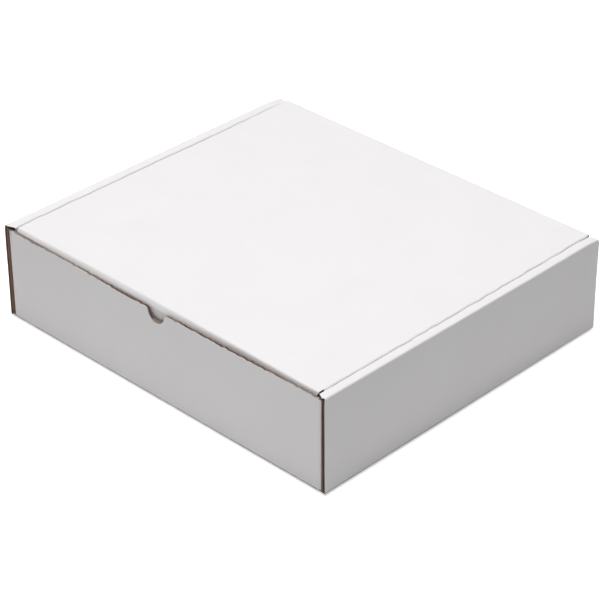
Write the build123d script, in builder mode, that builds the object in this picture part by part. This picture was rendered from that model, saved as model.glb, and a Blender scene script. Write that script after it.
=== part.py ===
from build123d import *
import math
import os

os.makedirs("parts", exist_ok=True)

# Driving dimensions in millimetres: X along the front, front wall towards -Y, Z up
inside_width = 312.5  # clear width between the rolled side walls
inside_depth = 285.5  # clear depth between the front and back walls
inside_height = 74.2  # clear height from the floor to the lid
board = 2.8  # caliper of the corrugated board
fold_crush = 0.4  # board lost to the crush of a crease, so a fold is rounder than square
floor_fold_radius = 1.8  # outside of the folds round the floor
crest_radius = 1.3  # outside of the tight folds of the roll-overs and of the lid's sides
notch_radius = 8.5  # thumb notch, round bottom
notch_depth = 9.8  # thumb notch, from the cut edge down
notch_shoulder = 3.2  # rounding where the notch meets the cut edge
corner_flap_length = 72.0  # flaps of the front and back walls, inside the side walls
corner_flap_chamfer = 8.0  # trimmed corners of those flaps
tab_length = 44.0  # locking tabs of the inner side walls
tab_spacing = 150.0  # centre to centre of the two tabs of one side
tuck_depth = 46.0  # front tuck flap of the lid, from the lid's top
tuck_taper = 9.0  # narrowing of each side of the tuck flap over its depth
tuck_corner = 14.0  # rounded lower corners of the tuck flap
dust_flap_depth = 44.0  # side flaps of the lid, from the lid's top
dust_flap_slant = 14.0  # each end of a dust flap runs in by this much
dust_flap_corner = 8.0  # rounded lower corners of the dust flaps
dust_flap_front = 5.0  # start of the dust flap's fold behind the front fold
dust_flap_back = 1.0  # end of the dust flap's fold before the back wall
relief_step = 0.1  # the lid's raw corners stand in from the start of its side folds by this much

# Clearances
ply_gap = 0.15  # air between two plies that lie face to face
slot_play = 0.3  # air round a locking tab in its slot
lid_play = 0.4  # between the lid's dust flaps and the inner side walls
tuck_play = 0.4  # between the swinging tuck flap and the front wall
crease_gap = 0.1  # across the mitre of the rear crease

# Sizes that follow
side_thickness = 3 * board + 2 * ply_gap
outer_width = inside_width + 2 * side_thickness
outer_depth = inside_depth + 2 * board
outer_height = inside_height + 2 * board
fold_radius = board - fold_crush
half_width = outer_width / 2
half_depth = outer_depth / 2
inner_face = inside_width / 2
end_half_width = half_width - board - ply_gap
end_height = outer_height - board - ply_gap
roll_half_depth = inside_depth / 2 - ply_gap
lid_half_width = inner_face - lid_play
panel_half_width = lid_half_width - crest_radius - relief_step

# Hinge line: on the outside of the rear crease, where the mitre comes out
crease_set = fold_radius * (1 - math.sqrt(0.5))
hinge_y = half_depth - crease_set
hinge_z = outer_height - crease_set
mitre_shift = crease_gap / 2 * math.sqrt(2)

# The tuck flap's outer face is a chord of the circle that clears the front wall
swing = hinge_y + inside_depth / 2 - tuck_play
tuck_top_y = hinge_y - math.sqrt(swing**2 - (outer_height - hinge_z) ** 2)
tuck_end_y = hinge_y - math.sqrt(swing**2 - (hinge_z - outer_height + tuck_depth) ** 2)

# Tray: floor, end walls with corner flaps, rolled side walls with locking tabs
with BuildPart() as tray:
    # Floor and both outer side walls, one U folded from the board
    with BuildSketch(Plane.XZ) as floor_and_sides:
        with BuildLine():
            Polyline(
                (-half_width, outer_height),
                (-half_width, 0),
                (half_width, 0),
                (half_width, outer_height),
                (half_width - board, outer_height),
                (half_width - board, board),
                (board - half_width, board),
                (board - half_width, outer_height),
                close=True,
            )
        make_face()
    extrude(amount=half_depth, both=True)

    # Roll-over of each side: top strip and inner wall, between the end walls
    with BuildSketch(Plane.XZ) as roll_over:
        with BuildLine():
            Polyline(
                (half_width, outer_height),
                (inner_face, outer_height),
                (inner_face, board + ply_gap),
                (inner_face + board, board + ply_gap),
                (inner_face + board, outer_height - board),
                (half_width, outer_height - board),
                close=True,
            )
        make_face()
        mirror(about=Plane.YZ)
    extrude(amount=roll_half_depth, both=True)

    # Ends of each top strip: over the end walls' cut edges, cut on a slant from the inner wall out
    with BuildSketch(Plane.XY.offset(outer_height - board)):
        with BuildLine():
            Polyline(
                (half_width - board, -roll_half_depth),
                (inner_face, -roll_half_depth),
                (half_width - board, ply_gap - half_depth),
                close=True,
            )
        make_face()
        mirror(about=Plane.XZ)
        mirror(about=Plane.YZ)
    extrude(amount=board)

    # Front wall with the thumb notch in its cut edge
    with BuildSketch(Plane.XZ.offset(half_depth - board)) as front_wall:
        Rectangle(2 * end_half_width, end_height, align=(Align.CENTER, Align.MIN))
        with Locations((0, end_height - notch_depth + notch_radius)):
            Circle(notch_radius, mode=Mode.SUBTRACT)
        mouth = front_wall.vertices().group_by(Axis.Y)[-1].sort_by(lambda v: abs(v.X))[:2]
        fillet(mouth, notch_shoulder)
    extrude(amount=board)

    # Back wall: full height where the lid hangs on it, cut lower beside the lid
    with BuildSketch(Plane.XZ.offset(-half_depth)):
        Rectangle(2 * end_half_width, end_height, align=(Align.CENTER, Align.MIN))
        Rectangle(2 * panel_half_width, outer_height, align=(Align.CENTER, Align.MIN))
    extrude(amount=board)

    # Corner flaps, folded back from the end walls between the two plies of each side
    with BuildSketch(Plane.YZ.offset(end_half_width - board)) as corner_flap:
        with BuildLine():
            Polyline(
                (-half_depth, board + ply_gap),
                (corner_flap_length - half_depth, board + ply_gap),
                (corner_flap_length - half_depth, outer_height - board - ply_gap),
                (-half_depth, outer_height - board - ply_gap),
                close=True,
            )
        make_face()
        chamfer(corner_flap.vertices().group_by(Axis.X)[-1], corner_flap_chamfer)
    flap = extrude(amount=board)
    flap_left = mirror(flap, about=Plane.YZ)
    mirror(flap, about=Plane.XZ)
    mirror(flap_left, about=Plane.XZ)

    # Rounded folds: rear crease, end walls' corners, roll-overs, floor
    top_x = tray.edges().filter_by(Axis.X).group_by(Axis.Z)[-1]
    rear_crease = top_x.filter_by(lambda e: e.length > inner_face).sort_by(Axis.Y)[-1:]
    fillet(rear_crease, fold_radius)
    upright = tray.edges().filter_by(Axis.Z)
    corner_folds = upright.filter_by(
        lambda e: abs(abs(e.center().X) - end_half_width) < ply_gap / 2
        and abs(e.center().Y) > half_depth - board / 2
    )
    fillet(corner_folds, fold_radius)
    crests = tray.edges().filter_by(Axis.Y).group_by(Axis.Z)[-1]
    outer_crests = crests.filter_by(lambda e: abs(e.center().X) > half_width - board / 2)
    inner_crests = crests.filter_by(lambda e: abs(e.center().X) < inner_face + board / 2)
    fillet(outer_crests + inner_crests, crest_radius)
    low_x = tray.edges().filter_by(Axis.X).group_by(Axis.Z)[0]
    low_y = tray.edges().filter_by(Axis.Y).group_by(Axis.Z)[0]
    fillet(low_x + low_y, floor_fold_radius)

    # Mitre of the rear crease, the lid's half taken away
    with BuildSketch(Plane.YZ):
        with BuildLine():
            Polyline(
                (half_depth - 2 * board, outer_height - 2 * board - mitre_shift),
                (half_depth + board, outer_height + board - mitre_shift),
                (half_depth - 2 * board, outer_height + board - mitre_shift),
                close=True,
            )
        make_face()
    extrude(amount=panel_half_width, both=True, mode=Mode.SUBTRACT)

    # Floor slots and the locking tabs of the inner walls that stand in them
    with BuildSketch(Plane.XY) as slots:
        with GridLocations(2 * inner_face + board, tab_spacing, 2, 2):
            Rectangle(board + 2 * ply_gap, tab_length + 2 * slot_play)
    extrude(amount=board, mode=Mode.SUBTRACT)
    with BuildSketch(Plane.XY.offset(ply_gap)) as tabs:
        with GridLocations(2 * inner_face + board, tab_spacing, 2, 2):
            Rectangle(board, tab_length)
    extrude(amount=board + ply_gap)

tray.part.label = "tray"

# Lid: panel with tuck flap and dust flaps
with BuildPart() as lid:
    # Panel and tuck flap in section, hung on the mitre of the rear crease
    lean = math.atan2(tuck_end_y - tuck_top_y, tuck_depth)
    tuck_inner_y = tuck_top_y + board / math.cos(lean)
    with BuildSketch(Plane.YZ):
        with BuildLine():
            Polyline(
                (half_depth, outer_height),
                (tuck_top_y, outer_height),
                (tuck_end_y, outer_height - tuck_depth),
                (tuck_inner_y + tuck_depth * math.tan(lean), outer_height - tuck_depth),
                (tuck_inner_y + board * math.tan(lean), outer_height - board),
                (half_depth, outer_height - board),
                close=True,
            )
        make_face()
    extrude(amount=panel_half_width, both=True)

    # Tuck flap trimmed to its tapered outline with rounded corners
    with BuildSketch(Plane.XZ.offset(-tuck_end_y - 2 * board)) as tuck_trim:
        with Locations((0, outer_height - board)):
            Rectangle(2 * lid_half_width, tuck_depth, align=(Align.CENTER, Align.MAX))
        with BuildLine():
            Polyline(
                (-panel_half_width, outer_height - board),
                (panel_half_width, outer_height - board),
                (panel_half_width - tuck_taper, outer_height - tuck_depth),
                (tuck_taper - panel_half_width, outer_height - tuck_depth),
                close=True,
            )
        outline = make_face(mode=Mode.PRIVATE)
        low = outline.vertices().group_by(Axis.Y)[0]
        outline = outline.face().fillet_2d(tuck_corner, low)
        add(outline, mode=Mode.SUBTRACT)
    extrude(amount=4 * board, mode=Mode.SUBTRACT)

    # Dust flaps, folded down along the sides with both ends slanted
    flap_front = tuck_top_y + dust_flap_front
    flap_back = inside_depth / 2 - dust_flap_back
    with BuildSketch(Plane.YZ.offset(lid_half_width - board)) as dust_flap:
        with BuildLine():
            Polyline(
                (flap_front, outer_height),
                (flap_back, outer_height),
                (flap_back, outer_height - board),
                (flap_back - dust_flap_slant, outer_height - dust_flap_depth),
                (flap_front + dust_flap_slant, outer_height - dust_flap_depth),
                (flap_front, outer_height - board),
                close=True,
            )
        make_face()
        fillet(dust_flap.vertices().group_by(Axis.Y)[0], dust_flap_corner)
    dust = extrude(amount=board)
    mirror(dust, about=Plane.YZ)

    # Rounded folds: front, both sides and the rear crease
    crest_x = lid.edges().filter_by(Axis.X).group_by(Axis.Z)[-1].sort_by(Axis.Y)
    crest_y = lid.edges().filter_by(Axis.Y).group_by(Axis.Z)[-1]
    side_folds = crest_y.filter_by(lambda e: abs(e.center().X) > lid_half_width - crest_radius / 2)
    fillet(crest_x[:1] + crest_x[-1:], fold_radius)
    fillet(side_folds, crest_radius)

    # Mitre of the rear crease, the back wall's half taken away
    with BuildSketch(Plane.YZ):
        with BuildLine():
            Polyline(
                (half_depth - 2 * board, outer_height - 2 * board + mitre_shift),
                (half_depth + board, outer_height + board + mitre_shift),
                (half_depth + board, outer_height - 2 * board + mitre_shift),
                close=True,
            )
        make_face()
    extrude(amount=panel_half_width, both=True, mode=Mode.SUBTRACT)

lid.part.label = "lid"

export_step(tray.part, "parts/tray.step")
export_step(lid.part, "parts/lid.step")
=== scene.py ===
import math
import bpy
import numpy as np
from mathutils import Matrix, Vector


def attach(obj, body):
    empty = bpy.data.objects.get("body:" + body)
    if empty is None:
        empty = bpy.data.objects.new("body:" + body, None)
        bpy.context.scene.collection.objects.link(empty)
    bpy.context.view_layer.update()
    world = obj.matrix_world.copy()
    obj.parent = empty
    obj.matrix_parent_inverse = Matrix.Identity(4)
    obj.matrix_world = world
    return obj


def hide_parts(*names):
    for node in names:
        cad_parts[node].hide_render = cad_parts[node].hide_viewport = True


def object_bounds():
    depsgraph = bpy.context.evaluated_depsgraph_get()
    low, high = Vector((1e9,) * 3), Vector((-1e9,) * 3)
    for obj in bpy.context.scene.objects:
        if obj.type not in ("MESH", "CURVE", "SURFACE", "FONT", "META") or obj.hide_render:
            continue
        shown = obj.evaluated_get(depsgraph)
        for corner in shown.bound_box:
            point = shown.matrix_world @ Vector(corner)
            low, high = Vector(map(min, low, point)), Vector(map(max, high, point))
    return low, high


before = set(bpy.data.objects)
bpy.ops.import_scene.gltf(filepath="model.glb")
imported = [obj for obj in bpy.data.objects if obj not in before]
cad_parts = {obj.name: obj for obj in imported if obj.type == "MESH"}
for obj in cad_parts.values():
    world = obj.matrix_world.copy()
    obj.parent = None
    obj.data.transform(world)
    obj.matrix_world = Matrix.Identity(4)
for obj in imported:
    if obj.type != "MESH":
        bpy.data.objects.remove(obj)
cadLow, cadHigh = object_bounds()

# the blank in millimetres: the outside is the CAD box (width X, depth Y, height Z), the panels follow from it
blank = {"board": 2.8, "plyGap": 0.15, "lidPlay": 0.4, "lidRelief": 1.4}
# outside radii of the folds
folds = {"floor": 3.0, "crest": 1.4, "crestIn": 1.5, "front": 4.0, "rear": 2.4, "corner": 3.2,
         "cornerLeft": 4.0, "lidSide": 0.8}
# within these a point counts as past a fold, on a wall's face or on the lid's top
tolerance = {"fold": 0.02, "face": 0.1, "top": 0.01}
board = blank["board"]
plyGap = blank["plyGap"]
halfWidth, halfDepth, height = (round(1000 * far, 3) for far in cadHigh)
foot = board + plyGap  # one ply and its gap
innerFace = round(halfWidth - 3 * board - 2 * plyGap, 3)  # inner wall of a rolled side
endHalf = round(halfWidth - foot, 3)  # end walls stand between the outer side walls
endTop = round(height - foot, 3)  # and end below the lid
rollHalf = round(halfDepth - foot, 3)  # inner walls stand between the end walls
lidHalf = round(innerFace - blank["lidPlay"], 3)  # outside of the dust flaps
panelHalf = round(lidHalf - blank["lidRelief"], 3)  # raw corners of the lid
seamRight = endHalf - folds["corner"]  # where an end wall turns into its corner fold
seamLeft = endHalf - folds["cornerLeft"]  # the rounder one, front left


def hexColor(code):
    # sRGB hex to linear
    c = np.array([int(code[i:i + 2], 16) for i in (1, 3, 5)]) / 255
    return (*np.where(c <= 0.04045, c / 12.92, ((c + 0.055) / 1.055) ** 2.4), 1.0)


def addNode(tree, kind, settings=None, inputs=None):
    # one node with its settings; each input takes a value or a link
    node = tree.nodes.new(kind)
    for key, value in (settings or {}).items():
        setattr(node, key, value)
    for key, value in (inputs or {}).items():
        if isinstance(value, bpy.types.NodeSocket):
            tree.links.new(value, node.inputs[key])
        else:
            node.inputs[key].default_value = value
    return node


def newMaterial(name):
    material = bpy.data.materials.new(name)
    material.use_nodes = True
    material.node_tree.nodes.clear()
    return material, material.node_tree


# bleached paper facing: dull white, faintly cloudy, with a very fine fibre grain,
# and painted shade: a grey line along the folds round the floor, where they meet the floor, that fades
# towards the back
whitePaper = {
    "base": "#EFEDEE", "cloud": "#E9E7E8", "cloudMm": 45,
    "fibreMm": 1.1, "grain": 0.12, "grainMm": 0.1,
    "footShade": "#625C5A", "footShadeMm": 5, "footShadeLeast": 0.4,  # painted shade in patches, and how much shows between them
    "lineTopMm": (3.5, 2.3), "lineFootMm": (0.8, 1.6),  # heights where the line starts and where it is full
    "fadeMm": (-30, 130), "faded": 0.25,  # from here to there along Y it falls to this share
    "roughness": 0.62, "specular": 0.3,
}


def makeWhitePaper():
    look = whitePaper
    material, tree = newMaterial("white_facing_paper")
    where = addNode(tree, "ShaderNodeTexCoord").outputs["Object"]
    cloud = addNode(tree, "ShaderNodeTexNoise", None,
                    {"Vector": where, "Scale": 1000 / look["cloudMm"], "Detail": 4.0, "Roughness": 0.6})
    clean = addNode(tree, "ShaderNodeMix", {"data_type": "RGBA"},
                    {0: cloud.outputs["Fac"], 6: hexColor(look["base"]), 7: hexColor(look["cloud"])})
    fibre = addNode(tree, "ShaderNodeTexNoise", None,
                    {"Vector": where, "Scale": 1000 / look["fibreMm"], "Detail": 3.0})
    grain = addNode(tree, "ShaderNodeBump", None,
                    {"Strength": look["grain"], "Distance": look["grainMm"] / 1000,
                     "Height": fibre.outputs["Fac"]})
    shadePatches = addNode(tree, "ShaderNodeTexNoise", None,
                  {"Vector": where, "Scale": 1000 / look["footShadeMm"], "Detail": 3.0, "Roughness": 0.65})
    axes = addNode(tree, "ShaderNodeSeparateXYZ", None, {0: where}).outputs
    # the painted shade line is the product of its upper limit, its lower limit, the patches and the fade
    upper, lower, fade = (np.array(look[key]) / 1000 for key in ("lineTopMm", "lineFootMm", "fadeMm"))
    line = addNode(tree, "ShaderNodeMapRange", {"interpolation_type": "SMOOTHSTEP"},
                   {0: axes["Z"], 1: upper[0], 2: upper[1], 3: 0.0, 4: 1.0})
    for limit in ({0: axes["Z"], 1: lower[0], 2: lower[1], 3: 0.0, 4: 1.0},
                  {0: shadePatches.outputs["Fac"], 1: 0.3, 2: 0.6, 3: look["footShadeLeast"], 4: 1.0},
                  {0: axes["Y"], 1: fade[0], 2: fade[1], 3: 1.0, 4: look["faded"]}):
        share = addNode(tree, "ShaderNodeMapRange", None, limit)
        line = addNode(tree, "ShaderNodeMath", {"operation": "MULTIPLY"},
                       {0: line.outputs[0], 1: share.outputs[0]})
    # grey painted shade mixed into the white along the floor folds
    footShaded = addNode(tree, "ShaderNodeMix", {"data_type": "RGBA"},
                     {0: line.outputs[0], 6: clean.outputs[2], 7: hexColor(look["footShade"])})
    shader = addNode(tree, "ShaderNodeBsdfPrincipled", None,
                     {"Base Color": footShaded.outputs[2], "Roughness": look["roughness"],
                      "Specular IOR Level": look["specular"], "Normal": grain.outputs[0]})
    addNode(tree, "ShaderNodeOutputMaterial", None, {"Surface": shader.outputs[0]})
    return material


# kraft facing: brown unbleached paper, its long fibres drawn out one way
kraftPaper = {"base": "#A68068", "dark": "#906C58", "fibreMm": 2.2, "drawn": (1.0, 0.18, 1.0),
              "grain": 0.2, "grainMm": 0.1, "roughness": 0.8, "specular": 0.25}


def makeKraftPaper():
    look = kraftPaper
    material, tree = newMaterial("kraft_facing_paper")
    where = addNode(tree, "ShaderNodeTexCoord").outputs["UV"]
    drawn = addNode(tree, "ShaderNodeMapping", None, {"Vector": where, "Scale": look["drawn"]})
    fibre = addNode(tree, "ShaderNodeTexNoise", None,
                    {"Vector": drawn.outputs[0], "Scale": 1000 / look["fibreMm"], "Detail": 6.0,
                     "Roughness": 0.7})
    tone = addNode(tree, "ShaderNodeMix", {"data_type": "RGBA"},
                   {0: fibre.outputs["Fac"], 6: hexColor(look["base"]), 7: hexColor(look["dark"])})
    grain = addNode(tree, "ShaderNodeBump", None,
                    {"Strength": look["grain"], "Distance": look["grainMm"] / 1000,
                     "Height": fibre.outputs["Fac"]})
    shader = addNode(tree, "ShaderNodeBsdfPrincipled", None,
                     {"Base Color": tone.outputs[2], "Roughness": look["roughness"],
                      "Specular IOR Level": look["specular"], "Normal": grain.outputs[0]})
    addNode(tree, "ShaderNodeOutputMaterial", None, {"Surface": shader.outputs[0]})
    return material


# raw edges, matt and mottled: cut facings look tan grey, the fluted medium between them a dull red brown,
# the cut of the white facing a pale buff
rawEdges = {"cut_board_edge": ("#90867C", "#7A6E68"), "fluted_medium": ("#8E726C", "#745A56"),
            "cut_white_paper": ("#D2C2AC", "#857A74")}
rawLook = {"fibreMm": 3.3333, "roughness": 0.9, "specular": 0.2}


def makeRawEdge(name):
    pale, dark = rawEdges[name]
    material, tree = newMaterial(name)
    where = addNode(tree, "ShaderNodeTexCoord").outputs["Object"]
    fibre = addNode(tree, "ShaderNodeTexNoise", None,
                    {"Vector": where, "Scale": 1000 / rawLook["fibreMm"], "Detail": 4.0})
    tone = addNode(tree, "ShaderNodeMix", {"data_type": "RGBA"},
                   {0: fibre.outputs["Fac"], 6: hexColor(pale), 7: hexColor(dark)})
    shader = addNode(tree, "ShaderNodeBsdfPrincipled", None,
                     {"Base Color": tone.outputs[2], "Roughness": rawLook["roughness"],
                      "Specular IOR Level": rawLook["specular"]})
    addNode(tree, "ShaderNodeOutputMaterial", None, {"Surface": shader.outputs[0]})
    return material


boardMaterials = [makeWhitePaper(), makeKraftPaper(), *(makeRawEdge(name) for name in rawEdges)]
finish = {"white": 0, "kraft": 1, "edge": 2, "medium": 3, "paper": 4}  # their order in the mesh
print("materials done")


def ramp(value, start, end):
    # 0 at the start, 1 at the end, straight between and level beyond
    return np.clip((value - start) / (end - start), 0, 1)


def bell(distance, width, power=2):
    # 1 at no distance, falling off round the width
    return np.exp(-(distance / width) ** power)


def ripple(a, b, seed, longest):
    # slow unevenness from -1 to 1: the mean of a few plane waves of different heading, length and start
    waves = 6
    shortest = 0.35
    rng = np.random.default_rng(seed)
    total = 0
    for _ in range(waves):
        heading = rng.uniform(0, 2 * math.pi)
        length = longest * rng.uniform(shortest, 1)
        start = rng.uniform(0, 2 * math.pi)
        total = total + np.cos((a * math.cos(heading) + b * math.sin(heading)) * 2 * math.pi / length + start)
    return total / waves


def unit(v):
    return v / np.linalg.norm(v, axis=-1, keepdims=True)


def wayGone(points):
    # distance from the first point, summed along the line
    return np.concatenate([[0], np.cumsum(np.linalg.norm(np.diff(points, axis=0), axis=1))])


def grade(length, step, extra=()):
    # stations from 0 to length, a step apart in the middle and crowded towards both ends
    near = np.array([0, 0.35, 0.8, 1.4, 2.2, 3.4, 5.0])
    near = near[near < length / 2]
    count = max(2, int(math.ceil((length - 2 * near[-1]) / step)) + 1)
    middle = np.linspace(near[-1], length - near[-1], count)
    return np.unique(np.round(np.concatenate([near, length - near, middle, np.asarray(extra, float)]), 4))


# folds of the board: smallest inside radius, run in which the inner face slips, steps of half a fold,
# and the distance below which two points are one
foldShape = {"tightest": 0.4, "slipRun": 3.0, "halfSteps": 5, "same": 1e-6}


def foldPath(corners, radii, step, extra=None):
    # straight runs joined by round folds, given on the outer face; the inner face lies one board behind it,
    # with its own small arc in each fold; the outside is to the left of the heading
    corners = np.asarray(corners, float)
    runs = np.diff(corners, axis=0)
    lengths = np.linalg.norm(runs, axis=1)
    ways = unit(runs)
    lefts = np.stack([-ways[:, 1], ways[:, 0]], -1)
    bends = []
    for k, radius in enumerate(radii):
        turn = math.acos(np.clip(ways[k] @ ways[k + 1], -1, 1))
        small = max(foldShape["tightest"], radius - board)
        aim = (lefts[k] + lefts[k + 1]) / (1 + lefts[k] @ lefts[k + 1])
        bends.append({"turn": turn, "radius": radius, "small": small, "cut": radius * math.tan(turn / 2),
                      "slip": (board + small - radius) * math.tan(turn / 2),
                      "centre": corners[k + 1] - radius * aim,
                      "inside": corners[k + 1] - (board + small) * aim})
    outer, inner, facing, middles = [], [], [], []
    noBend = {"cut": 0.0, "slip": 0.0}
    for k, way in enumerate(ways):
        before = bends[k - 1] if k > 0 else noBend
        after = bends[k] if k < len(bends) else noBend
        start, end = before["cut"], lengths[k] - after["cut"]
        if end - start > foldShape["same"]:
            t = start + grade(end - start, step, extra.get(k, ()) if extra else ())
            slip = before["slip"] * bell(t - start, foldShape["slipRun"])
            slip = slip - after["slip"] * bell(end - t, foldShape["slipRun"])
            outer.append(corners[k] + t[:, None] * way)
            inner.append(outer[-1] - board * lefts[k] + slip[:, None] * way)
            facing.append(np.tile(lefts[k], (len(t), 1)))
        if k < len(bends):
            angles = np.linspace(0, after["turn"], 2 * foldShape["halfSteps"] + 1)
            fan = lefts[k] * np.cos(angles)[:, None] + way * np.sin(angles)[:, None]
            middles.append(sum(len(part) for part in outer) + foldShape["halfSteps"])
            outer.append(after["centre"] + fan * after["radius"])
            inner.append(after["inside"] + fan * after["small"])
            facing.append(fan)
    outer, inner, facing = (np.concatenate(parts) for parts in (outer, inner, facing))
    gone = wayGone(outer)
    keep = np.concatenate([[True], np.diff(gone) > foldShape["same"]])
    return {"outer": outer[keep], "inner": inner[keep], "facing": facing[keep], "gone": gone[keep],
            "middles": [int(keep[:middle].sum()) for middle in middles]}


def carry(axis, path, low, high, share):
    # grids of both faces: path point (rows) set at stations between low and high along the axis (columns)
    rows = len(path["outer"])
    low, high = np.broadcast_to(low, rows), np.broadcast_to(high, rows)
    along = low[:, None] + (high - low)[:, None] * np.asarray(share)[None, :]
    grids = []
    for key in ("outer", "inner", "facing"):
        grid = np.repeat(path[key][:, None, :], len(share), 1)
        grids.append(np.insert(grid, axis, along if key != "facing" else 0.0, axis=2))
    return grids


def sink(outer, inner, facing, depth):
    # both faces set back by the depth, against the way they face
    back = facing * depth[..., None]
    return outer - back, inner - back


def flatUv(path, outer, axis, fluteAlong):
    # board coordinates in millimetres: along the flutes, across the flutes
    gone = np.repeat(path["gone"][:, None], outer.shape[1], 1)
    pair = (outer[..., axis], gone) if fluteAlong else (gone, outer[..., axis])
    return np.stack(pair, -1)


# look of a raw edge in millimetres
cut = {
    "liner": 0.5, "recess": 0.03,  # width of a facing's rim, and how far its inner side lies back
    "hollow": 1.6, "swing": 1.2, "shallow": 0.35,  # depth behind the rims, its change, below this closed
    "turnMm": 31, "driftMm": 47, "drift": 2.2,  # how fast the medium changes from one slope to the other
    "medium": 0.3, "pitch": 6.4,  # thickness of the wavy medium and its flute pitch
    "mediumMargin": 1.0, "mediumStep": 0.45, "mediumRecess": 0.08, "mediumDepth": 3.0,
}


def turnedIn(verts, faces, inside):
    # whether the faces, taken together, look towards the points that lie inside
    corners = verts[faces]
    normals = np.cross(corners[:, 2] - corners[:, 0], corners[:, 3] - corners[:, 1])
    return (normals * (corners.mean(1) - inside)).sum() < 0


def fluteRibbon(outerLine, innerLine, outward, uv):
    # wavy medium seen in an edge cut across the flutes: a thin band between the facings,
    # whose middle swings from one to the other as a sine of the distance gone along the edge
    gone = wayGone(outerLine)
    s = np.arange(cut["mediumMargin"], gone[-1] - cut["mediumMargin"], cut["mediumStep"])
    o, n, out, flat = (np.stack([np.interp(s, gone, line) for line in lines.T], -1)
                       for lines in (outerLine, innerLine, outward, uv))
    width = np.linalg.norm(n - o, axis=1)
    across = (n - o) / width[:, None]
    sway = (width / 2 - cut["liner"] - cut["medium"] / 2) * np.sin(2 * math.pi * s / cut["pitch"])
    middle = (o + n) / 2 + across * sway[:, None] - out * cut["mediumRecess"]
    side = across * cut["medium"] / 2
    deep = out * cut["mediumDepth"]
    lines = np.stack([middle - side, middle + side, middle + side - deep, middle - side - deep])
    ids = np.arange(4 * len(s)).reshape(4, -1)
    faces = [np.stack([a[1:], a[:-1], b[:-1], b[1:]], -1) for a, b in zip(ids, np.roll(ids, -1, axis=0))]
    faces = np.concatenate(faces + [ids[::-1, :1].T, ids[:, -1:].T])
    verts = lines.reshape(-1, 3)
    core = np.tile(lines.mean(0), (4, 1))
    if turnedIn(verts, faces, core[faces].mean(1)):
        faces = faces[:, ::-1]
    return verts, faces, np.full(len(faces), finish["edge"]), np.tile(flat, (4, 1))


def hollowDepths(kind, gone, shift):
    # depth of the hollow at the outer and at the inner facing: across the flutes both are open all along,
    # along the flutes the medium slopes now one way, now the other
    if kind == "cross":
        even = cut["hollow"] + cut["swing"] + 0 * gone
        return even, even
    phase = gone / cut["turnMm"] + cut["drift"] * np.sin(gone / cut["driftMm"] + shift[0]) + shift[1]
    swing = cut["swing"] * np.cos(phase)
    return cut["hollow"] + swing, cut["hollow"] - swing


def boardShell(outer, inner, borders, uv, holes=(), depths=None, rim="edge"):
    # closed sheet of board: white outer face, kraft inner face and four borders (low column, last row,
    # high column, first row); "cut" runs along the flutes and shows two facing rims with a hollow that the
    # medium slopes across, "cross" runs across them and shows the wavy medium, "raw" and "kraft" are plain;
    # depths gives a border's hollow at the outer and at the inner facing
    rows, columns = outer.shape[:2]
    back = rows * columns  # from a point of the outer face to its partner on the inner face
    verts = [outer.reshape(-1, 3), inner.reshape(-1, 3)]
    flat = uv.reshape(-1, 2)
    uvs = [flat, flat]
    index = np.arange(back).reshape(rows, columns)
    keep = np.ones((rows - 1, columns - 1), bool)
    for a, b, c, d in holes:
        keep[a:b, c:d] = False
    quads = np.stack([index[:-1, :-1], index[1:, :-1], index[1:, 1:], index[:-1, 1:]], -1)[keep]
    faces = [quads, quads[:, ::-1] + back]
    slots = [np.full(len(quads), finish["white"]), np.full(len(quads), finish["kraft"])]
    for a, b, c, d in holes:
        ring = np.concatenate([index[a:b, c], index[b, c:d], index[b:a:-1, d], index[a, d:c:-1]])
        after = np.roll(ring, -1)
        faces.append(np.stack([ring, after, after + back, ring + back], -1))
        slots.append(np.full(len(ring), finish["edge"]))
    edges = [(index[:, 0], index[:, 1]), (index[-1, :], index[-2, :]),
             (index[::-1, -1], index[::-1, -2]), (index[0, ::-1], index[1, ::-1])]
    count = 2 * back
    ribbons = []
    for place, (kind, (edge, behind)) in enumerate(zip(borders, edges)):
        lines = [edge, edge + back]
        looks = [finish["kraft" if kind == "kraft" else "edge"]]
        if kind in ("cut", "cross"):
            o, n = verts[0][edge], verts[1][edge]
            outward = unit(o + n - verts[0][behind] - verts[1][behind])
            liner = unit(n - o) * cut["liner"]
            deepA, deepB = (depths or {}).get(place) or hollowDepths(kind, wayGone(o), (rows, columns))
            rimA, rimB = o + liner - outward * cut["recess"], n - liner - outward * cut["recess"]
            verts += [rimA, rimA - outward * deepA[:, None], rimB - outward * deepB[:, None], rimB]
            uvs += [flat[edge]] * 4
            lines[1:1] = [count + len(edge) * k + np.arange(len(edge)) for k in range(4)]
            count += 4 * len(edge)
            closed = np.minimum(deepA, deepB)[1:] < cut["shallow"]
            bottom = np.where(closed, finish["edge"], finish["medium"])
            looks = [finish[rim], finish["medium"], bottom, finish["medium"], finish["edge"]]
            for end in (0, -1):
                p = [line[end] for line in lines]
                caps = np.array([[p[0], p[1], p[4], p[5]], [p[1], p[2], p[3], p[4]]])
                faces.append(caps if end else caps[:, ::-1])
                slots.append(np.full(2, finish["edge"]))
            if kind == "cross":
                ribbons.append(fluteRibbon(o, n, outward, flat[edge]))
        for a, b, look in zip(lines[:-1], lines[1:], looks):
            faces.append(np.stack([a[1:], a[:-1], b[:-1], b[1:]], -1))
            slots.append(np.full(len(a) - 1, look))
    verts, faces = np.concatenate(verts), np.concatenate(faces)
    if turnedIn(verts, quads, verts[quads + back].mean(1)):
        faces = faces[:, ::-1]
    used, faces = np.unique(faces, return_inverse=True)
    return [(verts[used], faces.reshape(-1, 4), np.concatenate(slots), np.concatenate(uvs)[used]), *ribbons]


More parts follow.
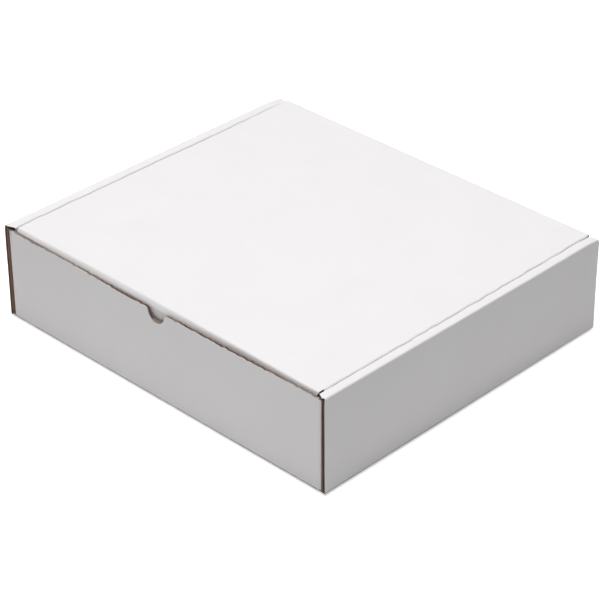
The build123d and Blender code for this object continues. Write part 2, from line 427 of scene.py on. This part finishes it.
def makePiece(name, shells, materials, body, *nodes):
    # joins the sheets of one body into one mesh, in metres, smooth but for its sharp edges
    metres = 0.001
    sharpDegrees = 40
    starts = np.cumsum([0] + [len(shell[0]) for shell in shells])
    verts = np.concatenate([shell[0] for shell in shells]) * metres
    faces = np.concatenate([shell[1] + start for shell, start in zip(shells, starts)])
    slots = np.concatenate([shell[2] for shell in shells])
    uvs = np.concatenate([shell[3] for shell in shells]) * metres
    mesh = bpy.data.meshes.new(name)
    mesh.from_pydata(verts, [], faces)
    mesh.polygons.foreach_set("material_index", slots.astype(np.int32))
    mesh.polygons.foreach_set("use_smooth", np.ones(len(faces), bool))
    layer = mesh.uv_layers.new(name="board")
    layer.data.foreach_set("uv", uvs[faces.ravel()].ravel().astype(np.float32))
    for material in materials:
        mesh.materials.append(material)
    mesh.set_sharp_from_angle(angle=math.radians(sharpDegrees))
    if mesh.validate(verbose=True):
        print(name, "had bad faces")
    piece = bpy.data.objects.new(name, mesh)
    bpy.context.scene.collection.objects.link(piece)
    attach(piece, body)
    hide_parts(*nodes)
    print(name, len(faces), "faces")


# how the lid lies: drop of its front part, which runs out between these places along Y, and the line beside
# each roll-over as shift outward, unevenness, seed and longest wave; the lid sits a little to the right
lidFit = {"settle": 0.5, "settleBack": (20, halfDepth - 5), "right": (0.4, 0.6, 41, 20),
          "left": (-0.4, 0.75, 42, 24)}


def wander(y, side):
    # uneven line between the lid and the roll-over of one side, in millimetres outward
    lines = []
    for key in ("right", "left"):
        shift, uneven, seed, longest = lidFit[key]
        lines.append(shift + uneven * ripple(y, 0 * y, seed, longest))
    return np.where(side > 0, *lines)


def settled(y):
    # drop of the lid below its full height: none at the rear crease, from there a parabola, then even
    return lidFit["settle"] * (1 - ramp(y, *lidFit["settleBack"]) ** 2)


# floor with both rolled sides; each tab of an inner wall stands in a floor slot
rolled = {
    "tabAt": 75.0, "tabHalf": 22.0, "tabPlay": 0.3,
    "crestZone": 2, "endTrim": 1.0, "trimReach": 2.5,  # height of the strip's zone, ends trimmed at the crest
    "bow": 0.25, "bowUneven": 0.2, "bowMm": 160, "bowFrom": 2,
    "crestSag": 0.14, "crestUneven": 0.14, "crestMm": 34, "crestReach": 2.5, "sidesApart": 40,
    "wallZone": 4, "wallFull": 1, "leftShare": 0.3,  # the left wall is straighter than the right one
    "droopRight": 0.8, "droopLeft": 1.8, "droopReach": 8,
    "lean": 0.55, "leanLess": 0.3,  # of the right wall, less to the back
    "edgeZone": (4, 2), "edgeDown": 20,  # where the strip's inner edge wanders
    "edgeRight": -0.33, "edgeLeft": 0.1, "edgeFront": -0.06, "frontReach": 45,
    "openWall": 1.2, "openStrip": 3, "stripBelow": 1.5, "stripInside": 1,  # hollow in the cut ends
}
slotHalf = rolled["tabHalf"] + rolled["tabPlay"]
slotIn = round(innerFace - plyGap, 3)
slotOut = round(innerFace + foot, 3)


def rolledSides():
    # path across the box in the XZ plane, from one inner wall over the floor to the other, carried along Y
    floorHalf = halfDepth - folds["floor"]
    slotMarks = halfWidth + np.array([-slotOut, -slotIn, slotIn, slotOut]) - folds["floor"]
    corners = [(innerFace, foot), (innerFace, height), (halfWidth, height), (halfWidth, 0)]
    corners += [(-x, z) for x, z in corners[::-1]]
    radii = [folds[key] for key in ("crestIn", "crest", "floor", "floor", "crest", "crestIn")]
    stripMark = halfWidth - innerFace - board - folds["crestIn"]
    path = foldPath(corners, radii, 10.0, {1: [stripMark], 3: slotMarks, 5: [board - folds["crest"]]})
    px, pz = path["outer"].T
    side = np.sign(px)[:, None]
    fromMiddle = np.abs(px)
    onFloor = path["facing"][:, 1] < -0.75  # faces down
    # the strip's ends run out over the end walls, cut on a slant from the inner wall out
    slant = ramp(fromMiddle, innerFace, halfWidth - board) * (pz > height - rolled["crestZone"])
    reach = rollHalf + (halfDepth - plyGap - rollHalf) * slant
    reach = np.where(fromMiddle > halfWidth - folds["crest"] - tolerance["fold"], halfDepth, reach)
    trim = rolled["endTrim"] * np.exp((pz - height) / rolled["trimReach"])
    reach = reach - trim * (fromMiddle > halfWidth - rolled["crestZone"])
    reach = np.where(onFloor, floorHalf, reach)
    span = 2 * floorHalf
    tabEdges = [s * rolled["tabAt"] + e * slotHalf + floorHalf for s in (-1, 1) for e in (-1, 1)]
    share = grade(span, 3.0, tabEdges) / span
    outer, inner, facing = carry(1, path, -reach, reach, share)
    y = outer[..., 1]
    # outer walls bow in a little between their folds, half a sine; the crests are not quite straight
    bow = np.sin(ramp(pz, rolled["bowFrom"], height - rolled["bowFrom"]) * math.pi)
    bow = bow * (fromMiddle > halfWidth - tolerance["face"])
    crest = bell(pz - height, rolled["crestReach"]) * (fromMiddle > innerFace - tolerance["face"])
    uneven = ripple(y, outer[..., 2], 3, rolled["bowMm"])
    crestUneven = ripple(y, rolled["sidesApart"] * side, 4, rolled["crestMm"])
    sag = bow[:, None] * (rolled["bow"] + rolled["bowUneven"] * uneven)
    sag = sag + crest[:, None] * (rolled["crestSag"] + rolled["crestUneven"] * crestUneven)
    sag = sag * np.where(px < rolled["wallZone"] - halfWidth, rolled["leftShare"], 1)[:, None]
    outer, inner = sink(outer, inner, facing, sag)
    # the right roll-over has settled with the lid and its wall leans in at the top, the back ends droop
    rise = ramp(pz, 0, height) * ~onFloor
    drop = settled(y) * (rise ** 2 * (px > 0))[:, None]
    droop = np.where(side > 0, rolled["droopRight"], rolled["droopLeft"]) * (rise ** 8)[:, None]
    drop = drop + droop * bell(halfDepth - y, rolled["droopReach"])
    onWall = ramp(px, halfWidth - rolled["wallZone"], halfWidth - rolled["wallFull"])
    lean = (rolled["lean"] - rolled["leanLess"] * y / halfDepth) * (rise ** 4 * onWall)[:, None]
    # the roll-over's inner edge wanders, less and less down the inner wall
    edgeOut, edgeIn = rolled["edgeZone"]
    onEdge = ramp(fromMiddle, innerFace + edgeOut, innerFace + edgeIn) * ~onFloor
    onEdge = onEdge * ramp(pz, height - rolled["edgeDown"], height)
    shift = wander(y, side) + np.where(side > 0, rolled["edgeRight"], rolled["edgeLeft"])
    shift = shift + rolled["edgeFront"] * bell(y + halfDepth, rolled["frontReach"])
    for grid in (outer, inner):
        grid[..., 0] += onEdge[:, None] * side * shift - lean
        grid[..., 2] -= drop

    def rowAt(x):
        return int(np.argmin(np.where(onFloor, np.abs(px - x), np.inf)))

    def columnAt(y):
        return int(np.argmin(np.abs(share * span - floorHalf - y)))

    holes = []
    for start, end in ((slotOut, slotIn), (-slotIn, -slotOut)):
        for middle in (-rolled["tabAt"], rolled["tabAt"]):
            holes.append((rowAt(start), rowAt(end), columnAt(middle - slotHalf), columnAt(middle + slotHalf)))
    onStrip = (pz > height - rolled["stripBelow"]) & (fromMiddle < halfWidth - rolled["stripInside"])
    deep = rolled["openWall"] + rolled["openStrip"] * onStrip
    return boardShell(outer, inner, ("cut", "raw", "cut", "raw"), flatUv(path, outer, 1, False), holes,
                      {0: (deep, deep), 2: (deep[::-1], deep[::-1])})


# front wall: its cut edge dips at the thumb notch, sags a little in the middle and is ragged
frontEdge = {
    "notchRadius": 8.5, "notchDepth": 9.8, "shoulder": 3.2, "bottomAt": 1, "bottomHalf": 5.5,
    # place, width and depth of each dip
    "dips": ((-138, 15, 0.35), (-95, 35, -0.3), (-33, 20, 1.05), (33, 20, -0.05), (135, 18, -0.3)),
    "sag": 0.65, "wave": 0.6, "waveMean": 0.5, "waveUneven": 0.35, "waveMm": (70, 24), "waveEnds": 0.125,
    "ragged": 0.9, "raggedMm": 11, "raggedFrom": 3,
    "liftFrom": 4, "innerLower": 0.5, "notchLip": 1.4,  # the wall below follows; the inner facing ends lower
    "bow": 0.2, "bowUneven": 0.2, "bowMm": 170, "bowTurn": 0.75, "bowEnds": 25,
    "squeeze": 0.35, "notchEase": 0.3, "squeezeReach": 4,
}
# how far the front wall's cut opens the flutes
frontFlutes = {
    "least": 0.08, "ends": 0.1,
    "middle": 0.8, "uneven": 1.2, "unevenMm": 16, "middleAt": 25, "middleHalf": 85,
    "notchSide": 2.0, "notchSideAt": -7.5, "notchSideHalf": 2.5, "bottomOuter": 0.5, "bottomInner": 0.95,
    "torn": 0.8, "tornAt": -30, "tornHalf": 16, "slope": 0.45, "turnMm": 38, "driftMm": 61, "drift": 1.3,
}


def notchOutline():
    # half of the notch, from the start of its shoulder to the middle of its bottom: x from the middle, z from
    # the edge; the shoulder's arc runs into the round bottom where both have the same slope
    radius, depth, shoulder = (frontEdge[key] for key in ("notchRadius", "notchDepth", "shoulder"))
    rise = depth - shoulder - radius
    shoulderX = math.sqrt((radius + shoulder) ** 2 - rise ** 2)
    meet = math.atan2(-rise, shoulderX)
    upper = np.linspace(math.pi / 2, meet, 12)
    lower = np.linspace(-meet, -math.pi / 2, 14)[1:]
    x = np.concatenate([shoulderX - shoulder * np.cos(upper), radius * np.cos(lower)])
    z = np.concatenate([shoulder * (np.sin(upper) - 1), radius * (1 + np.sin(lower)) - depth])
    return x, z


def cutEdgeDrop(x, shoulderX):
    # how far the cut edge lies below its line: dips, a sag, slow waves that end at the corners, a ragged rest
    middle = np.cos(np.clip(x / seamLeft, -1, 1) * math.pi / 2)
    drop = sum(deep * bell(x - at, wide) for at, wide, deep in frontEdge["dips"])
    drop = drop + frontEdge["sag"] * middle ** 2
    waves = [ripple(x, 0, seed, longest) for seed, longest in zip((11, 12), frontEdge["waveMm"])]
    waves = frontEdge["waveMean"] + frontEdge["waveUneven"] * waves[0] + frontEdge["waveUneven"] * waves[1]
    drop = drop + frontEdge["wave"] * ramp(middle, 0, frontEdge["waveEnds"]) * waves
    besideNotch = ramp(np.abs(x), shoulderX, shoulderX + frontEdge["raggedFrom"])
    return drop + frontEdge["ragged"] * ripple(x, 0, 13, frontEdge["raggedMm"]) * besideNotch


def flutesOpened(x, atBottom):
    # depth of the cut's hollow at both facings: it opens a flute here and rides on one there,
    # and at the notch's bottom the medium slopes up to the inner facing
    f = frontFlutes
    opened = f["middle"] + f["uneven"] * ripple(x, 0, 14, f["unevenMm"])
    opened = f["ends"] + opened * bell(x - f["middleAt"], f["middleHalf"], 4)
    opened = opened + f["notchSide"] * bell(x - f["notchSideAt"], f["notchSideHalf"], 4)
    opened = opened + f["torn"] * bell(x - f["tornAt"], f["tornHalf"])
    opened = np.clip(opened, f["least"], None)
    slope = f["slope"] * np.cos(x / f["turnMm"] + f["drift"] * np.sin(x / f["driftMm"]))
    return (opened * (1 + slope) * (1 - f["bottomOuter"] * atBottom),
            opened * (1 - slope) * (1 - f["bottomInner"] * atBottom))


def frontWall():
    # path from the floor fold up to the cut edge in the YZ plane, carried along X
    notchX, notchZ = notchOutline()
    shoulderX = notchX[0]
    before, after = grade(seamLeft - shoulderX, 1.8), grade(seamRight - shoulderX, 1.8)
    x = np.concatenate([-seamLeft + before[:-1], -notchX, notchX[-2::-1], shoulderX + after[1:]])
    notch = np.concatenate([0 * before[:-1], notchZ, notchZ[-2::-1], 0 * after[1:]])
    path = foldPath([(folds["floor"] - halfDepth, 0), (-halfDepth, 0), (-halfDepth, endTop)],
                    [folds["floor"]], 5.0)
    pz = path["outer"][:, 1]
    inFold = pz < folds["floor"] - tolerance["fold"]
    left, right = (np.where(inFold, endHalf, seam) for seam in (seamLeft, seamRight))
    outer, inner, facing = carry(0, path, -left, right, (x + seamLeft) / (seamRight + seamLeft))
    # the wall below the edge follows it in proportion
    atBottom = bell(x - frontEdge["bottomAt"], frontEdge["bottomHalf"], 4)
    lift = ramp(pz, frontEdge["liftFrom"], endTop)[:, None]
    for grid in (outer, inner):
        grid[..., 2] += lift * (notch - cutEdgeDrop(x, shoulderX))
    inner[..., 2] += lift * (frontEdge["notchLip"] * atBottom - frontEdge["innerLower"])
    # the wall bows in, part of a sine; along the cut the die has squeezed the board
    sideGap = np.minimum(seamRight - x, x + seamLeft)
    bow = np.sin(lift * math.pi * frontEdge["bowTurn"]) * ramp(sideGap, 0, frontEdge["bowEnds"])
    uneven = ripple(outer[..., 0], outer[..., 2], 7, frontEdge["bowMm"])
    outer, inner = sink(outer, inner, facing, bow * (frontEdge["bow"] + frontEdge["bowUneven"] * uneven))
    below = np.abs(outer[-1:, :, 2] - outer[..., 2])
    squeeze = frontEdge["squeeze"] - frontEdge["notchEase"] * atBottom
    outer = outer - facing * (squeeze * np.exp(-below / frontEdge["squeezeReach"]))[..., None]
    return boardShell(outer, inner, ("raw", "cut", "raw", "raw"), flatUv(path, outer, 0, True),
                      depths={1: flutesOpened(x, atBottom)}, rim="paper")


# one long path gives tuck flap, lid, back wall and rear floor fold; it is parted in the rear crease
tuck = {"depth": 46.0, "behindWall": 0.25, "leanIn": 3.745, "taper": 9.0, "corner": 14.0}
tuckTop = round(board + tuck["behindWall"] - halfDepth, 3)
tuckEnd = round(tuckTop + tuck["leanIn"], 3)
longCorners = [(tuckEnd, height - tuck["depth"]), (tuckTop, height), (halfDepth, height), (halfDepth, 0),
               (halfDepth - folds["floor"], 0)]
longPath = foldPath(longCorners, [folds[key] for key in ("front", "rear", "floor")], 2.5)
parted = longPath["middles"][1]
backPath, lidPath = ({key: longPath[key][part] for key in ("outer", "inner", "facing", "gone")}
                     for part in (slice(parted, None), slice(0, parted + 1)))

backBow = {"bow": 0.25, "uneven": 0.2, "unevenMm": 170, "from": 3, "ends": 25}


def backWall():
    # as wide as the lid at the crease, lower down as far as the corner folds; bows in by half a sine
    pz = backPath["outer"][:, 1]
    half = np.where(pz < folds["floor"] - tolerance["fold"], endHalf, seamRight)
    half = np.where(pz > endTop, panelHalf, half)
    share = grade(2 * seamRight, 6.0) / (2 * seamRight)
    outer, inner, facing = carry(0, backPath, -half, half, share)
    sideGap = np.minimum(share, 1 - share) * 2 * seamRight
    bow = np.sin(ramp(pz, backBow["from"], height - backBow["from"]) * math.pi)[:, None]
    uneven = ripple(outer[..., 0], outer[..., 2], 9, backBow["unevenMm"])
    bow = bow * ramp(sideGap, 0, backBow["ends"]) * (backBow["bow"] + backBow["uneven"] * uneven)
    outer, inner = sink(outer, inner, facing, bow)
    return boardShell(outer, inner, ("raw", "raw", "raw", "kraft"), flatUv(backPath, outer, 0, True))


cornerFlap = {"length": 72.0, "easeRun": 3, "lowered": 0.7}


def cornerFlaps():
    # round upright fold at each end of the front and back walls, then the flap between the side's two plies;
    # path in the XY plane, carried along Z
    tip = halfDepth - cornerFlap["length"]
    top = height - foot
    tall = top - foot
    corners = {"frontRight": [(endHalf, -tip), (endHalf, -halfDepth), (seamRight, -halfDepth)],
               "frontLeft": [(-seamLeft, -halfDepth), (-endHalf, -halfDepth), (-endHalf, -tip)],
               "backRight": [(seamRight, halfDepth), (endHalf, halfDepth), (endHalf, tip)],
               "backLeft": [(-endHalf, tip), (-endHalf, halfDepth), (-seamRight, halfDepth)]}
    shells = []
    for name, points in corners.items():
        radius = folds["cornerLeft" if name == "frontLeft" else "corner"]
        path = foldPath(points, [radius], 8.0)
        foldStart = halfDepth - radius
        onFold = ramp(np.abs(path["outer"][:, 1]), foldStart - cornerFlap["easeRun"], foldStart)
        low = foot + onFold * (folds["floor"] - foot)
        high = top - cornerFlap["lowered"] * (1 - onFold)
        outer, inner, _ = carry(2, path, low, high, grade(tall, 8.0) / tall)
        shells += boardShell(outer, inner, ("raw", "cross", "cut", "cross"), flatUv(path, outer, 2, False))
    return shells


tab = {"rim": 0.4, "lowRow": 0.6}  # stations close to the ends, which keep the cut edges crisp


def lockingTabs():
    # short flat sheets that go on from the inner walls down into the floor slots
    half = rolled["tabHalf"]
    across = np.array([-half, tab["rim"] - half, -half / 2, 0, half / 2, half - tab["rim"], half])
    z = np.array([foot, tab["lowRow"], plyGap])
    shells = []
    for side in (-1, 1):
        for middle in (-rolled["tabAt"], rolled["tabAt"]):
            y = middle + across
            outer = np.stack(np.broadcast_arrays(side * innerFace, y[None, :], z[:, None]), -1).astype(float)
            inner = outer + np.array([side * board, 0, 0])
            shells += boardShell(outer, inner, ("raw", "cross", "raw", "raw"), outer[..., [2, 1]])
    return shells


# the floor lies on its middle, its edges curl up a little: a rise that fades inward and up the walls
curl = {"rise": 0.45, "inward": 9, "up": 8}
trayShells = rolledSides() + frontWall() + backWall() + cornerFlaps() + lockingTabs()
for points, *_ in trayShells:
    border = np.minimum(halfWidth - np.abs(points[:, 0]), halfDepth - np.abs(points[:, 1]))
    points[:, 2] += curl["rise"] * bell(border, curl["inward"]) * bell(points[:, 2], curl["up"])
makePiece("tray_board", trayShells, boardMaterials, "tray", "tray")
print("tray done")

# the lid's front fold is a crushed crease: it kinks, runs on nearly flat and kinks again
crease = {
    "run": 5.8, "shorter": 0.3,  # length of the section, and how much it loses at the ends
    "marks": (0, 0.06, 0.35, 0.85, 1),  # places along the run, with their tilts in degrees
    "left": (0, 36, 54, 66, 94.7), "right": (0, 36, 70, 84, 94.7),
    "turnsFrom": -30, "turnsTo": 90, "ends": 135,  # along X, between the left and the right tilts
    "forward": (0.8, 0.9, 1.25), "forwardReach": 8,  # comes forward everywhere, to the right and at the ends
    "bulge": 0.3, "bulgeAt": 85, "bulgeHalf": 60, "bulgeBack": 20,
}
lidPanel = {
    "rawLeft": 0.55, "rawRightFront": 1.0, "rawRightBack": 1.9, "rawReach": 3,  # raw corners stand out
    "foldSag": 0.12, "foldUneven": 0.2, "foldMm": 55, "foldAt": -1.5, "foldReach": 5,
    "dish": 0.25, "dishUneven": 0.22, "dishMm": 190, "dishRim": 30,
}
dust = {"depth": 44.0, "slant": 14.0, "corner": 8.0, "fromFront": 5.151, "fromBack": 2.75,
        "sag": 0.1, "uneven": 0.1, "unevenMm": 30, "sagReach": 2.5, "straightBelow": 20}
flapFront = round(tuckTop + dust["fromFront"], 3)
flapBack = round(halfDepth - dust["fromBack"], 3)


def roundedCorner(drop, depth, radius):
    # how far a flap's side runs in round its lower corner: the radius less the circle's half chord
    low = np.clip(drop - (depth - radius), 0, radius)
    return radius - np.sqrt(radius ** 2 - low ** 2)


def crushedCrease(x, y):
    # shift of the front fold in Y and Z: the crushed section, which is the tilt summed up along the run,
    # less the plain arc of the path
    faceY, faceZ = lidPath["facing"].T
    tilt = np.clip(np.arctan2(-faceY, faceZ), 0, None)
    arc = -folds["front"] * np.stack([np.sin(tilt), 1 - np.cos(tilt)], -1)
    steps = 100
    fine = np.linspace(0, 1, steps + 1)
    sections = []
    for key in ("left", "right"):
        angles = np.radians(np.interp(fine, crease["marks"], crease[key]))
        curve = -np.cumsum(np.stack([np.cos(angles), np.sin(angles)], -1), 0) / steps
        curve = curve - curve[0]
        sections.append(np.stack([np.interp(tilt / tilt.max(), fine, part) for part in curve.T], -1)[:, None])
    toRight = ramp(x, crease["turnsFrom"], crease["turnsTo"])
    toRight = toRight ** 2 * (3 - 2 * toRight)
    atEnds = ramp(np.abs(x), 0, crease["ends"]) ** 4
    shift = sections[0] * (1 - toRight)[..., None] + sections[1] * toRight[..., None]
    shift = shift * (crease["run"] * (1 - crease["shorter"] * atEnds))[..., None] - arc[:, None]
    foldBack = tuckTop + folds["front"] * math.tan(tilt.max() / 2)
    near = np.exp(-np.clip(y - foldBack, 0, None) / crease["forwardReach"])[:, None]
    everywhere, right, ends = crease["forward"]
    shift[..., 0] -= near * (everywhere + right * toRight + ends * atEnds)
    return shift


def lidWithTuck():
    # path from the tuck flap's end over the lid to the rear crease in the YZ plane, carried along X;
    # the half width falls along the taper and round the corners of the tuck flap
    py, pz = lidPath["outer"].T
    drop = height - pz
    onTop = drop < tolerance["top"]
    onSide = onTop & (py > flapFront) & (py < flapBack)
    half = panelHalf - tuck["taper"] * ramp(drop, board, tuck["depth"])
    half = half - roundedCorner(drop, tuck["depth"], tuck["corner"])
    half = np.where(onSide, lidHalf - folds["lidSide"], half)
    rawEnd = ~onSide * ramp(drop, lidPanel["rawReach"], 0)
    left = half + onSide * wander(py, -1) + lidPanel["rawLeft"] * rawEnd
    rawRight = np.where(py > 0, lidPanel["rawRightBack"], lidPanel["rawRightFront"])
    right = half + onSide * wander(py, 1) + rawRight * rawEnd
    share = grade(2 * panelHalf, 4.5) / (2 * panelHalf)
    outer, inner, facing = carry(0, lidPath, -left, right, share)
    x = outer[..., 0]
    bulge = crease["bulge"] * bell(x - crease["bulgeAt"], crease["bulgeHalf"])
    bulge = bulge * ramp(outer[..., 1], crease["bulgeBack"], -halfDepth) ** 2
    shift = crushedCrease(x, py)
    for grid in (outer, inner):
        grid[..., 1:] += shift
        grid[..., 2] += bulge
    # the fold wanders, the panel dishes a little
    panelStart = lidPath["gone"][np.argmax(onTop)]
    onFold = bell(lidPath["gone"] - panelStart - lidPanel["foldAt"], lidPanel["foldReach"])[:, None]
    sag = onFold * (lidPanel["foldSag"] + lidPanel["foldUneven"] * ripple(x, 0, 21, lidPanel["foldMm"]))
    rim = lidPanel["dishRim"]
    inside = onTop * ramp(py, tuckTop, tuckTop + rim) * ramp(py, halfDepth, halfDepth - rim)
    sideGap = np.minimum(share, 1 - share) * 2 * panelHalf
    uneven = ripple(x, outer[..., 1], 5, lidPanel["dishMm"])
    dish = lidPanel["dish"] + lidPanel["dishUneven"] * uneven
    sag = sag + inside[:, None] * ramp(sideGap, 0, rim) * dish
    outer, inner = sink(outer, inner, facing, sag)
    for grid in (outer, inner):
        grid[..., 2] -= settled(grid[..., 1])
    return boardShell(outer, inner, ("cross", "kraft", "cross", "cut"), flatUv(lidPath, outer, 0, True))


def dustFlaps():
    # fold along each side of the lid, then down inside the side wall with slanted ends;
    # path in the XZ plane, carried along Y
    long = flapBack - flapFront
    shells = []
    for side in (1, -1):
        corners = [(side * (lidHalf - folds["lidSide"]), height), (side * lidHalf, height),
                   (side * lidHalf, height - dust["depth"])]
        path = foldPath(corners[::side], [folds["lidSide"]], 4.0)
        drop = height - path["outer"][:, 1]
        slant = dust["slant"] * ramp(drop, board, dust["depth"])
        slant = slant + roundedCorner(drop, dust["depth"], dust["corner"])
        outer, inner, facing = carry(1, path, flapFront + slant, flapBack - slant, grade(long, 2.5) / long)
        sag = dust["sag"] + dust["uneven"] * ripple(outer[..., 1], 0, 30 + side, dust["unevenMm"])
        outer, inner = sink(outer, inner, facing, bell(drop, dust["sagReach"])[:, None] * sag)
        follow = side * ramp(drop, dust["straightBelow"], 0)[:, None]
        for grid in (outer, inner):
            grid[..., 0] += follow * wander(grid[..., 1], side)
            grid[..., 2] -= settled(grid[..., 1])
        borders = ("cut", "cross", "cut", "raw") if side > 0 else ("cut", "raw", "cut", "cross")
        shells += boardShell(outer, inner, borders, flatUv(path, outer, 1, False))
    return shells


makePiece("lid_board", lidWithTuck() + dustFlaps(), boardMaterials, "lid", "lid")
print("lid done")

# white floor and world, soft light from above and a little from the front; metres and watts
studio = {
    "floorHalf": 6, "floorTone": 0.95, "floorBounce": 0.88, "glowNear": 0.5, "glowFrom": 0.6, "glowTo": 2.5,
    "worldLight": 0.02, "lampSize": 1.6,
    "lamps": {"overhead": ((0, 0, 2.0), 38.6), "front": ((0, -0.9, 1.8), 9.2)},
}
white = (1, 1, 1, 1)


def seenDirectly(tree):
    # 1 for camera, glossy and transmission rays, so that a mirror image shows the white background too
    ray = addNode(tree, "ShaderNodeLightPath").outputs
    mirrored = addNode(tree, "ShaderNodeMath", {"operation": "MAXIMUM"},
                       {0: ray["Is Glossy Ray"], 1: ray["Is Transmission Ray"]})
    seen = addNode(tree, "ShaderNodeMath", {"operation": "MAXIMUM"},
                   {0: ray["Is Camera Ray"], 1: mirrored.outputs[0]})
    return seen.outputs[0]


def makeFloor():
    # matt floor that keeps the shadow, with a glow that grows away from the object
    material, tree = newMaterial("studio_floor")
    seen = seenDirectly(tree)
    bounce, tone = ((studio[key], studio[key], studio[key], 1) for key in ("floorBounce", "floorTone"))
    shade = addNode(tree, "ShaderNodeMix", {"data_type": "RGBA"}, {0: seen, 6: bounce, 7: tone})
    matt = addNode(tree, "ShaderNodeBsdfDiffuse", None, {"Color": shade.outputs[2]})
    where = addNode(tree, "ShaderNodeTexCoord").outputs["Object"]
    far = addNode(tree, "ShaderNodeVectorMath", {"operation": "LENGTH"}, {0: where})
    growing = addNode(tree, "ShaderNodeMapRange", {"interpolation_type": "SMOOTHSTEP"},
                      {0: far.outputs["Value"], 1: studio["glowFrom"], 2: studio["glowTo"],
                       3: studio["glowNear"], 4: 1.0})
    level = addNode(tree, "ShaderNodeMath", {"operation": "MULTIPLY"}, {0: seen, 1: growing.outputs[0]})
    glow = addNode(tree, "ShaderNodeEmission", None, {"Color": white, "Strength": level.outputs[0]})
    both = addNode(tree, "ShaderNodeAddShader", None, {0: matt.outputs[0], 1: glow.outputs[0]})
    addNode(tree, "ShaderNodeOutputMaterial", None, {"Surface": both.outputs[0]})
    half = studio["floorHalf"]
    mesh = bpy.data.meshes.new("floor")
    mesh.from_pydata([(-half, -half, 0), (half, -half, 0), (half, half, 0), (-half, half, 0)], [],
                     [(0, 1, 2, 3)])
    mesh.materials.append(material)
    floor = bpy.data.objects.new("floor", mesh)
    bpy.context.scene.collection.objects.link(floor)


def makeWorld():
    world = bpy.data.worlds.new("studio")
    bpy.context.scene.world = world
    world.use_nodes = True
    tree = world.node_tree
    tree.nodes.clear()
    level = addNode(tree, "ShaderNodeMix", {"data_type": "FLOAT"},
                    {0: seenDirectly(tree), 2: studio["worldLight"], 3: 1.0})
    sky = addNode(tree, "ShaderNodeBackground", None, {"Color": white, "Strength": level.outputs[0]})
    addNode(tree, "ShaderNodeOutputWorld", None, {"Surface": sky.outputs[0]})


def makeLamps():
    # square soft boxes that look at the origin
    origin = Vector((0, 0, 0))
    for name, (place, watts) in studio["lamps"].items():
        lamp = bpy.data.lights.new(name, "AREA")
        lamp.size = studio["lampSize"]
        lamp.energy = watts
        holder = bpy.data.objects.new(name, lamp)
        holder.location = place
        holder.rotation_euler = (origin - Vector(place)).to_track_quat("-Z", "Y").to_euler()
        bpy.context.scene.collection.objects.link(holder)


# camera where the photograph was taken from; degrees, metres, and millimetres for lens and sensor
view = {"azimuth": 44.446, "elevation": 31.991, "roll": -0.225, "distance": 1.8001,
        "target": (-0.02278, 0.02254, 0.0), "lens": 140.76, "sensor": 36.0}


def makeCamera():
    # looks from the azimuth and elevation at the target, turned about its own axis by the roll
    azimuth, elevation, roll = (math.radians(view[key]) for key in ("azimuth", "elevation", "roll"))
    flat = math.cos(elevation)
    back = Vector((math.sin(azimuth) * flat, -math.cos(azimuth) * flat, math.sin(elevation)))
    level = Vector((0, 0, 1)).cross(back).normalized()
    upright = back.cross(level)
    right = level * math.cos(roll) + upright * math.sin(roll)
    up = upright * math.cos(roll) - level * math.sin(roll)
    spot = Vector(view["target"]) + back * view["distance"]
    data = bpy.data.cameras.new("photo_camera")
    data.sensor_width = view["sensor"]
    data.lens = view["lens"]
    camera = bpy.data.objects.new("photo_camera", data)
    camera.matrix_world = Matrix([(right[i], up[i], back[i], spot[i]) for i in range(3)] + [(0, 0, 0, 1)])
    bpy.context.scene.collection.objects.link(camera)
    bpy.context.scene.camera = camera


makeFloor()
makeWorld()
makeLamps()
makeCamera()
bpy.context.scene.view_settings.view_transform = "Standard"
print("stage done")
